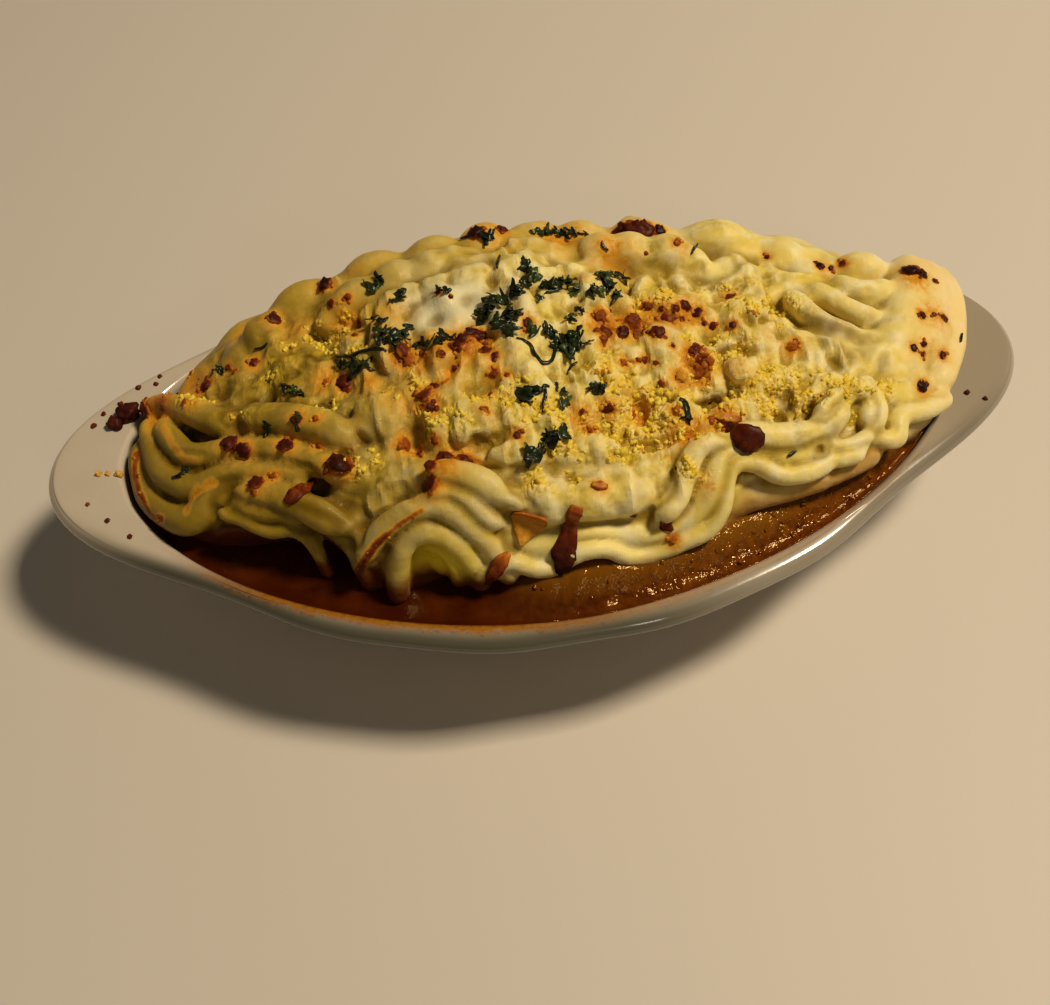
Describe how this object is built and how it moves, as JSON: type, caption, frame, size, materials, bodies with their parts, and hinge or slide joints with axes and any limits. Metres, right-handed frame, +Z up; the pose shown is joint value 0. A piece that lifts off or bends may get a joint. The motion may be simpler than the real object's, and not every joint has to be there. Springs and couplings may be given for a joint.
{
  "type": "shepherds pie in an oval eared dish",
  "caption": "Meat pie with a browned, piped potato top over dark sauce, baked in a white oval gratin dish with flat ears.",
  "frame": {"origin": "middle of the dish's flat foot, on the surface it stands on", "axes": "+X along the dish to its right ear, +Y to the back, +Z up"},
  "size_m": [0.2895, 0.1542, 0.0816],
  "materials": {
    "dish": "smooth white glaze",
    "filling": "wet, glossy sauce",
    "mash": "soft, slightly moist potato, browned on its crests"
  },
  "bodies": {
    "root": {"dish": "dish", "filling": "filling", "mash": "mash"}
  },
  "joints": []
}
